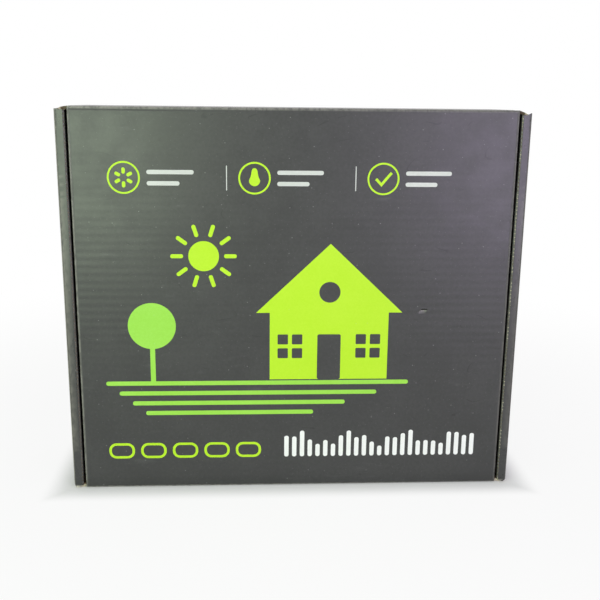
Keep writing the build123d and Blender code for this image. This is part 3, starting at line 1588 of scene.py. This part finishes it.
@dataclass
class Landscape:
    """Main picture of the print: a house, the sun, a tree and furrows.

    Attributes:
        lid: the sheet that carries it.
        house_low: lower left corner of the house's wall.
        house_high: its upper right corner.
        eaves: how far the roof stands out.
        gable: its height.
        attic: radius of the round window, and attic_rise its place on the gable's height.
        door: width and height of the door, and door_corner the radius of its corners.
        window: size of a window, and window_out its place on the house's width.
        pane: size of a pane, and pane_corner the radius of its corners.
        sun: the sun's middle, and sun_radius its radius.
        rays: number of rays.
        ray: a ray's length and width, ray_gap its distance from the sun and ray_corner its corners.
        tree: where the tree stands.
        trunk: width and height of its trunk, and trunk_corner the radius of its corners.
        crown: radius of its crown, and crown_rise how far that stands over the trunk.
        ground: left and right end of the ground line and its width, and ground_gap its drop.
        furrows: number of furrows, furrow_step their distance and furrow_inset how they get shorter.
        furrow_shift: which share of that is at their left end.
    """

    lid: Lid
    house_low: Point = (-20 * MM, 94 * MM)
    house_high: Point = (76 * MM, 150 * MM)
    eaves: float = 11 * MM
    gable: float = 56 * MM
    attic: float = 8.5 * MM
    attic_rise: float = 0.3
    door: Point = (19 * MM, 38 * MM)
    door_corner: float = 1.5 * MM
    window: float = 20 * MM
    window_out: float = 0.33
    pane: float = 8.4 * MM
    pane_corner: float = 0.8 * MM
    sun: Point = (-72 * MM, 196 * MM)
    sun_radius: float = 12 * MM
    rays: int = 10
    ray: Point = (10 * MM, 3.2 * MM)
    ray_gap: float = 4 * MM
    ray_corner: float = 1.5 * MM
    tree: float = -114 * MM
    trunk: Point = (4 * MM, 32 * MM)
    trunk_corner: float = 0.3 * MM
    crown: float = 19 * MM
    crown_rise: float = 0.7
    ground: Triple = (-152 * MM, 94 * MM, 3.6 * MM)
    ground_gap: float = 1 * MM
    furrows: int = 3
    furrow_step: float = 8.5 * MM
    furrow_inset: float = 26 * MM
    furrow_shift: float = 0.4

    def build(self) -> list[bpy.types.Object]:
        """Lays the picture's inks."""
        return [self.house(), self.openings(), self.sunshine(), self.greenery(), self.tree_crown()]

    def house(self) -> bpy.types.Object:
        """Front of the house with its gable."""
        (left, foot), (right, top) = self.house_low, self.house_high
        stencil = Stencil("print_house", Ink.LIME, self.lid)
        stencil.outline([
            (left, foot), (right, foot), (right, top), (right + self.eaves, top),
            ((left + right) / 2, top + self.gable), (left - self.eaves, top), (left, top),
        ])
        return stencil.lay()

    def openings(self) -> bpy.types.Object:
        """Windows and door, in the colour of the board."""
        (left, foot), (right, top) = self.house_low, self.house_high
        middle = (left + right) / 2
        stencil = Stencil("print_house_openings", Ink.CHARCOAL, self.lid, layer=2)
        stencil.disc(middle, top + self.gable * self.attic_rise, self.attic)
        stencil.bar((middle, foot + self.door[1] / 2), self.door, self.door_corner)
        gap = (self.window - self.pane) / 2
        for side in (-1, 1):
            for across in (-1, 1):
                for up in (-1, 1):
                    x = middle + side * (right - left) * self.window_out + across * gap
                    place = (x, (foot + top) / 2 + up * gap)
                    stencil.bar(place, (self.pane, self.pane), self.pane_corner)
        return stencil.lay()

    def sunshine(self) -> bpy.types.Object:
        """The sun with its rays."""
        stencil = Stencil("print_sun", Ink.LIME, self.lid)
        stencil.disc(*self.sun, self.sun_radius)
        out = self.sun_radius + self.ray_gap + self.ray[0] / 2
        turns = [math.tau * index / self.rays for index in range(self.rays)]
        stencil.wheel(self.sun, out, turns, self.ray, self.ray_corner)
        return stencil.lay()

    def greenery(self) -> bpy.types.Object:
        """Ground line, furrows and the tree's trunk."""
        start, end, width = self.ground
        foot = self.house_low[1] - width / 2 - self.ground_gap
        stencil = Stencil("print_ground", Ink.GREEN, self.lid)
        for index in range(self.furrows + 1):
            inset = index * self.furrow_inset
            left, right = start + self.furrow_shift * inset, end - inset
            place = ((left + right) / 2, foot - index * self.furrow_step)
            stencil.bar(place, (right - left, width), BAR_END * width)
        stencil.bar((self.tree, foot + width / 2 + self.trunk[1] / 2), self.trunk, self.trunk_corner)
        return stencil.lay()

    def tree_crown(self) -> bpy.types.Object:
        """The tree's round crown."""
        stencil = Stencil("print_tree_crown", Ink.GREEN, self.lid, layer=2)
        height = self.house_low[1] + self.trunk[1] + self.crown * self.crown_rise
        stencil.disc(self.tree, height, self.crown)
        return stencil.lay()


@dataclass
class IconRow:
    """Three ringed signs along the top, each with two bars beside it and rules between them.

    Attributes:
        lid: the sheet that carries it.
        count: number of rings.
        start: middle of the first ring.
        step: distance from one ring to the next.
        radius: radius of a ring.
        line: width of its line.
        petals: number of petals in the wheel.
        petal: length and width of a petal, and petal_corner the radius of its corners.
        petal_out: how far out the petals stand, in radii.
        drop: radius and height of the drop, and drop_fall how far its middle is lowered.
        tick: ends and bend of the tick, in radii, and tick_width its width.
        bar: length and width of an upper bar.
        bar_start: distance of the bars from their ring.
        bar_gap: distance of the bars from the row's middle.
        short_bar: length of a lower bar.
        rule: width and height of a rule, and rule_corner the radius of its corners.
        rule_gap: distance of a rule from the ring after it.
    """

    lid: Lid
    count: int = 3
    start: Point = (-132 * MM, 257 * MM)
    step: float = 100 * MM
    radius: float = 12.5 * MM
    line: float = 1.4 * MM
    petals: int = 6
    petal: Point = (4.6 * MM, 2.6 * MM)
    petal_corner: float = 1.2 * MM
    petal_out: float = 0.42
    drop: Point = (4.3 * MM, 9.5 * MM)
    drop_fall: float = 1.8 * MM
    tick: tuple[Point, ...] = ((-0.46, 0.0), (-0.12, -0.36), (0.5, 0.38))
    tick_width: float = 2.1 * MM
    bar: Point = (36 * MM, 3.3 * MM)
    bar_start: float = 5 * MM
    bar_gap: float = 4.3 * MM
    short_bar: float = 25 * MM
    rule: Point = (0.7 * MM, 19 * MM)
    rule_corner: float = 0.3 * MM
    rule_gap: float = 9 * MM

    def places(self) -> list[float]:
        """The rings' middles along the row."""
        return [self.start[0] + index * self.step for index in range(self.count)]

    def build(self) -> list[bpy.types.Object]:
        """Lays the row's inks."""
        return [self.rings(), self.signs(), self.bars()]

    def rings(self) -> bpy.types.Object:
        """The rings."""
        stencil = Stencil("print_rings", Ink.LIME, self.lid)
        for x in self.places():
            stencil.hollow_out(stencil.disc(x, self.start[1], self.radius), self.line)
        return stencil.lay()

    def signs(self) -> bpy.types.Object:
        """A petal wheel, a drop and a tick."""
        stencil = Stencil("print_signs", Ink.LIME, self.lid)
        first, second, third = self.places()
        z = self.start[1]
        turns = [math.tau * (index + 0.5) / self.petals for index in range(self.petals)]
        stencil.wheel((first, z), self.petal_out * self.radius, turns, self.petal, self.petal_corner)
        stencil.drop(second, z - self.drop_fall, *self.drop)
        bend = [(third + across * self.radius, z + up * self.radius) for across, up in self.tick]
        stencil.stroke(bend, self.tick_width)
        return stencil.lay()

    def bars(self) -> bpy.types.Object:
        """The pale bars and the rules."""
        stencil = Stencil("print_captions", Ink.PALE, self.lid)
        z = self.start[1]
        length, thick = self.bar
        for index, x in enumerate(self.places()):
            left = x + self.radius + self.bar_start
            for width, up in ((length, self.bar_gap), (self.short_bar, -self.bar_gap)):
                stencil.bar((left + width / 2, z + up), (width, thick), BAR_END * thick)
            if index:
                stencil.bar((x - self.radius - self.rule_gap, z), self.rule, self.rule_corner)
        return stencil.lay()


@dataclass
class FootLine:
    """Foot of the print: outlined pills at the left and a row of level bars at the right.

    Attributes:
        lid: the sheet that carries it.
        foot: height of its lower edge.
        pills_start: left end of the pills.
        pills: number of pills.
        pill: width and height of a pill.
        pill_gap: distance from one to the next.
        pill_line: width of their lines.
        bars_end: right end of the bars.
        bars: number of bars.
        bar_width: width of a bar.
        bar_step: distance from one to the next.
        bar_low: least height of a bar.
        bar_rise: how much higher the highest is.
        waves: shares of the slow and the fast wave that the heights follow.
        beats: how far those waves turn from one bar to the next.
    """

    lid: Lid
    foot: float = 26 * MM
    pills_start: float = -152 * MM
    pills: int = 5
    pill: Point = (21 * MM, 13.5 * MM)
    pill_gap: float = 5 * MM
    pill_line: float = 2.1 * MM
    bars_end: float = 152 * MM
    bars: int = 25
    bar_width: float = 3.7 * MM
    bar_step: float = 6.5 * MM
    bar_low: float = 8 * MM
    bar_rise: float = 16 * MM
    waves: Point = (0.3, 0.2)
    beats: Point = (0.9, 2.3)

    def build(self) -> list[bpy.types.Object]:
        """Lays the line's inks."""
        return [self.pill_row(), self.level_bars()]

    def pill_row(self) -> bpy.types.Object:
        """The outlined pills."""
        stencil = Stencil("print_pills", Ink.LIME, self.lid)
        width, height = self.pill
        for index in range(self.pills):
            x = self.pills_start + width / 2 + index * (width + self.pill_gap)
            face = stencil.bar((x, self.foot + height / 2), self.pill, PILL_END * height)
            stencil.hollow_out(face, self.pill_line)
        return stencil.lay()

    def level_bars(self) -> bpy.types.Object:
        """White bars of rising and falling height."""
        stencil = Stencil("print_level_bars", Ink.WHITE, self.lid)
        (slow, fast), (slow_beat, fast_beat) = self.waves, self.beats
        for index in range(self.bars):
            swing = 0.5 + slow * math.sin(slow_beat * index) + fast * math.cos(fast_beat * index)
            height = self.bar_low + self.bar_rise * swing
            x = self.bars_end - self.bar_width / 2 - index * self.bar_step
            stencil.bar((x, self.foot + height / 2), (self.bar_width, height), PILL_END * self.bar_width)
        return stencil.lay()


def hang(name: str, data: bpy.types.ID, place: Triple, aim: Triple) -> bpy.types.Object:
    """Adds a lamp or a camera to the scene.

    Args:
        name: the object's name.
        data: its lamp or camera data.
        place: where it hangs.
        aim: the point that it faces.

    Returns:
        The new object.
    """
    holder = bpy.data.objects.new(name, data)
    holder.location = place
    holder.rotation_mode = "QUATERNION"
    holder.rotation_quaternion = (Vector(aim) - Vector(place)).to_track_quat("-Z", "Y")
    bpy.context.scene.collection.objects.link(holder)
    return holder


@dataclass(frozen=True)
class SoftBox:
    """A rectangular studio lamp.

    Attributes:
        name: the lamp's name.
        place: where it hangs.
        aim: the point that it faces.
        size: its width and height.
        glow: its radiance, on the scale where 1 renders white.
        tint: its colour.
    """

    name: str
    place: Triple
    aim: Triple
    size: Point
    glow: float
    tint: Colour = (1, 1, 1)

    def build(self) -> None:
        """Adds the lamp to the scene."""
        lamp = bpy.data.lights.new(self.name, "AREA")
        lamp.shape = "RECTANGLE"
        lamp.size, lamp.size_y = self.size
        lamp.energy = self.glow * math.pi * self.size[0] * self.size[1]
        lamp.color = self.tint
        hang(self.name, lamp, self.place, self.aim)


LID_FACE = (0.0, -0.05, 0.15)


@dataclass
class Studio:
    """Pale floor, white surround and soft lamps.

    Attributes:
        floor_radius: radius of the floor.
        floor_steps: mesh steps round it.
        floor_drop: how far it lies under the box.
        floor_colour: its colour.
        floor_gloss: its roughness and specular level.
        near: where the floor starts to turn white, from the middle.
        far: where it is white.
        lift: how far it is lifted to white inside that.
        contact: how far it is lifted where the box stands.
        contact_width: how far out from the box that goes.
        footprint: half the box's width and depth.
        daylight: how strongly the surround lights the box.
        lamps: the lamps.
    """

    floor_radius: float = 8.0
    floor_steps: int = 64
    floor_drop: float = 0.2 * MM
    floor_colour: Colour = (0.86, 0.86, 0.86)
    floor_gloss: Point = (0.9, 0.1)
    near: float = 0.22
    far: float = 0.8
    lift: float = 0.88
    contact: float = 0.2
    contact_width: float = 26 * MM
    footprint: Point = (182 * MM, 50 * MM)
    daylight: float = 0.2
    lamps: tuple[SoftBox, ...] = (
        SoftBox("panel_left", (-0.38, -0.9, 0.27), LID_FACE, (0.36, 0.48), 4.8, (0.8, 1.0, 0.7)),
        SoftBox("panel_right", (0.46, -0.9, 0.26), LID_FACE, (0.38, 0.48), 3.5, (0.82, 0.68, 1.0)),
        SoftBox("window_left", (-1.02, -0.9, 0.4), LID_FACE, (0.95, 0.8), 2.1, (0.76, 1.0, 0.72)),
        SoftBox("window_right", (1.02, -0.9, 0.4), LID_FACE, (0.95, 0.8), 1.3, (0.9, 0.76, 1.0)),
        SoftBox("top_front", (0.0, -1.0, 1.3), (0.0, 0.0, 0.15), (1.4, 0.5), 1.3),
        SoftBox("overhead", (0.0, 0.1, 1.9), (0.0, 0.0, 0.0), (1.8, 1.8), 1.2),
    )

    def build(self) -> None:
        """Sets up the colour management, world, floor and lamps."""
        bpy.context.scene.view_settings.view_transform = "Standard"
        self.surround()
        self.floor()
        for lamp in self.lamps:
            lamp.build()

    def seen(self, tree: bpy.types.NodeTree) -> bpy.types.NodeSocket:
        """Finds the rays that show the surround itself: from the camera, or by gloss or glass.

        Args:
            tree: the node tree that asks.

        Returns:
            A socket that is 1 for such rays.
        """
        path = tree.nodes.new("ShaderNodeLightPath")
        total = path.outputs["Is Camera Ray"]
        for key in ("Is Glossy Ray", "Is Transmission Ray"):
            most = tree.nodes.new("ShaderNodeMath")
            most.operation = "MAXIMUM"
            tree.links.new(total, most.inputs[0])
            tree.links.new(path.outputs[key], most.inputs[1])
            total = most.outputs[0]
        return total

    def surround(self) -> None:
        """White world that lights the object softly."""
        world = bpy.data.worlds.new("surround")
        world.use_nodes = True
        bpy.context.scene.world = world
        tree = world.node_tree
        level = tree.nodes.new("ShaderNodeMapRange")
        level.inputs["To Min"].default_value = self.daylight
        level.inputs["To Max"].default_value = 1.0
        tree.links.new(self.seen(tree), level.inputs["Value"])
        background = tree.nodes["Background"]
        background.inputs["Color"].default_value = (1, 1, 1, 1)
        tree.links.new(level.outputs[0], background.inputs["Strength"])

    def beside(self, bench: Bench) -> bpy.types.NodeSocket:
        """How far the floor is lifted to white beside the box: little where the two meet.

        Args:
            bench: the floor's material.

        Returns:
            The value's socket.
        """
        place = bench.add("ShaderNodeSeparateXYZ")
        bench.feed(place.inputs[0], bench.where())
        gaps = [
            bench.maths("SUBTRACT", bench.maths("ABSOLUTE", place.outputs[axis]), half)
            for axis, half in zip((Axis.X, Axis.Y), self.footprint)
        ]
        return bench.span(bench.maths("MAXIMUM", *gaps), Band(0.0, self.contact_width, self.contact))

    def floor_material(self) -> bpy.types.Material:
        """Pale material that keeps the shadow by the box and is white further out."""
        bench = Bench("pale_floor")
        bench.paint((*self.floor_colour, 1.0))
        bench.gloss(*self.floor_gloss)
        distance = bench.add("ShaderNodeVectorMath", operation="LENGTH")
        bench.feed(distance.inputs[0], bench.where())
        white = bench.span(distance.outputs["Value"], Band(self.near, self.far, self.lift))
        white = bench.maths("MULTIPLY", white, self.beside(bench))
        white = bench.maths("MULTIPLY", white, self.seen(bench.material.node_tree))
        glow = bench.add("ShaderNodeEmission")
        mix = bench.add("ShaderNodeMixShader")
        for socket, value in zip(mix.inputs, (white, bench.shader.outputs[0], glow.outputs[0])):
            bench.feed(socket, value)
        bench.feed(bench.nodes["Material Output"].inputs["Surface"], mix.outputs[0])
        return bench.material

    def floor(self) -> None:
        """Round floor under the box."""
        bm = bmesh.new()
        under = Matrix.Translation((0, 0, -self.floor_drop))
        bmesh.ops.create_circle(
            bm, cap_ends=True, radius=self.floor_radius, segments=self.floor_steps, matrix=under
        )
        mesh = bpy.data.meshes.new("floor")
        bm.to_mesh(mesh)
        bm.free()
        mesh.materials.append(self.floor_material())
        floor = bpy.data.objects.new("floor", mesh)
        bpy.context.scene.collection.objects.link(floor)


@dataclass
class PhotoCamera:
    """Camera at the photograph's viewing angle, for a square picture.

    Attributes:
        place: where it stands.
        aim: the point that it faces.
        roll: how far it is tilted sideways.
        lens: focal length in millimetres.
        sensor: width of the sensor in millimetres.
        nearest: nearest distance that it shows.
    """

    place: Triple = (-0.03234, -0.69414, 0.3148)
    aim: Triple = (0.0041, -0.05, 0.16056)
    roll: float = math.radians(0.641)
    lens: float = 49.8
    sensor: float = 36.0
    nearest: float = 0.01

    def build(self) -> None:
        """Makes the scene's camera."""
        data = bpy.data.cameras.new("photo_camera")
        data.lens = self.lens
        data.sensor_width = self.sensor
        data.clip_start = self.nearest
        camera = hang("photo_camera", data, self.place, self.aim)
        camera.rotation_quaternion = camera.rotation_quaternion @ Quaternion((0, 0, 1), self.roll)
        bpy.context.scene.camera = camera


def report(pieces: Iterable[bpy.types.Object]) -> None:
    """Logs the size of each piece."""
    for piece in pieces:
        LOG.info("%s: %d faces", piece.name, len(piece.data.polygons))


def main() -> None:
    """Builds the sheets, the print, the studio and the camera."""
    logging.basicConfig(level=logging.INFO)
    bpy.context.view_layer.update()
    tray = Tray("tray", "tray", "tray_board", Axis.Y.direction, CHARCOAL_TRAY, wear=0.14)
    lid = Lid("lid", "lid", "lid_board", -Axis.Y.direction, CHARCOAL_LID, wear=0.12)
    for group in (tray, lid, Landscape(lid), IconRow(lid), FootLine(lid)):
        report(group.build())
    Studio().build()
    PhotoCamera().build()


if __name__ == "__main__":
    main()
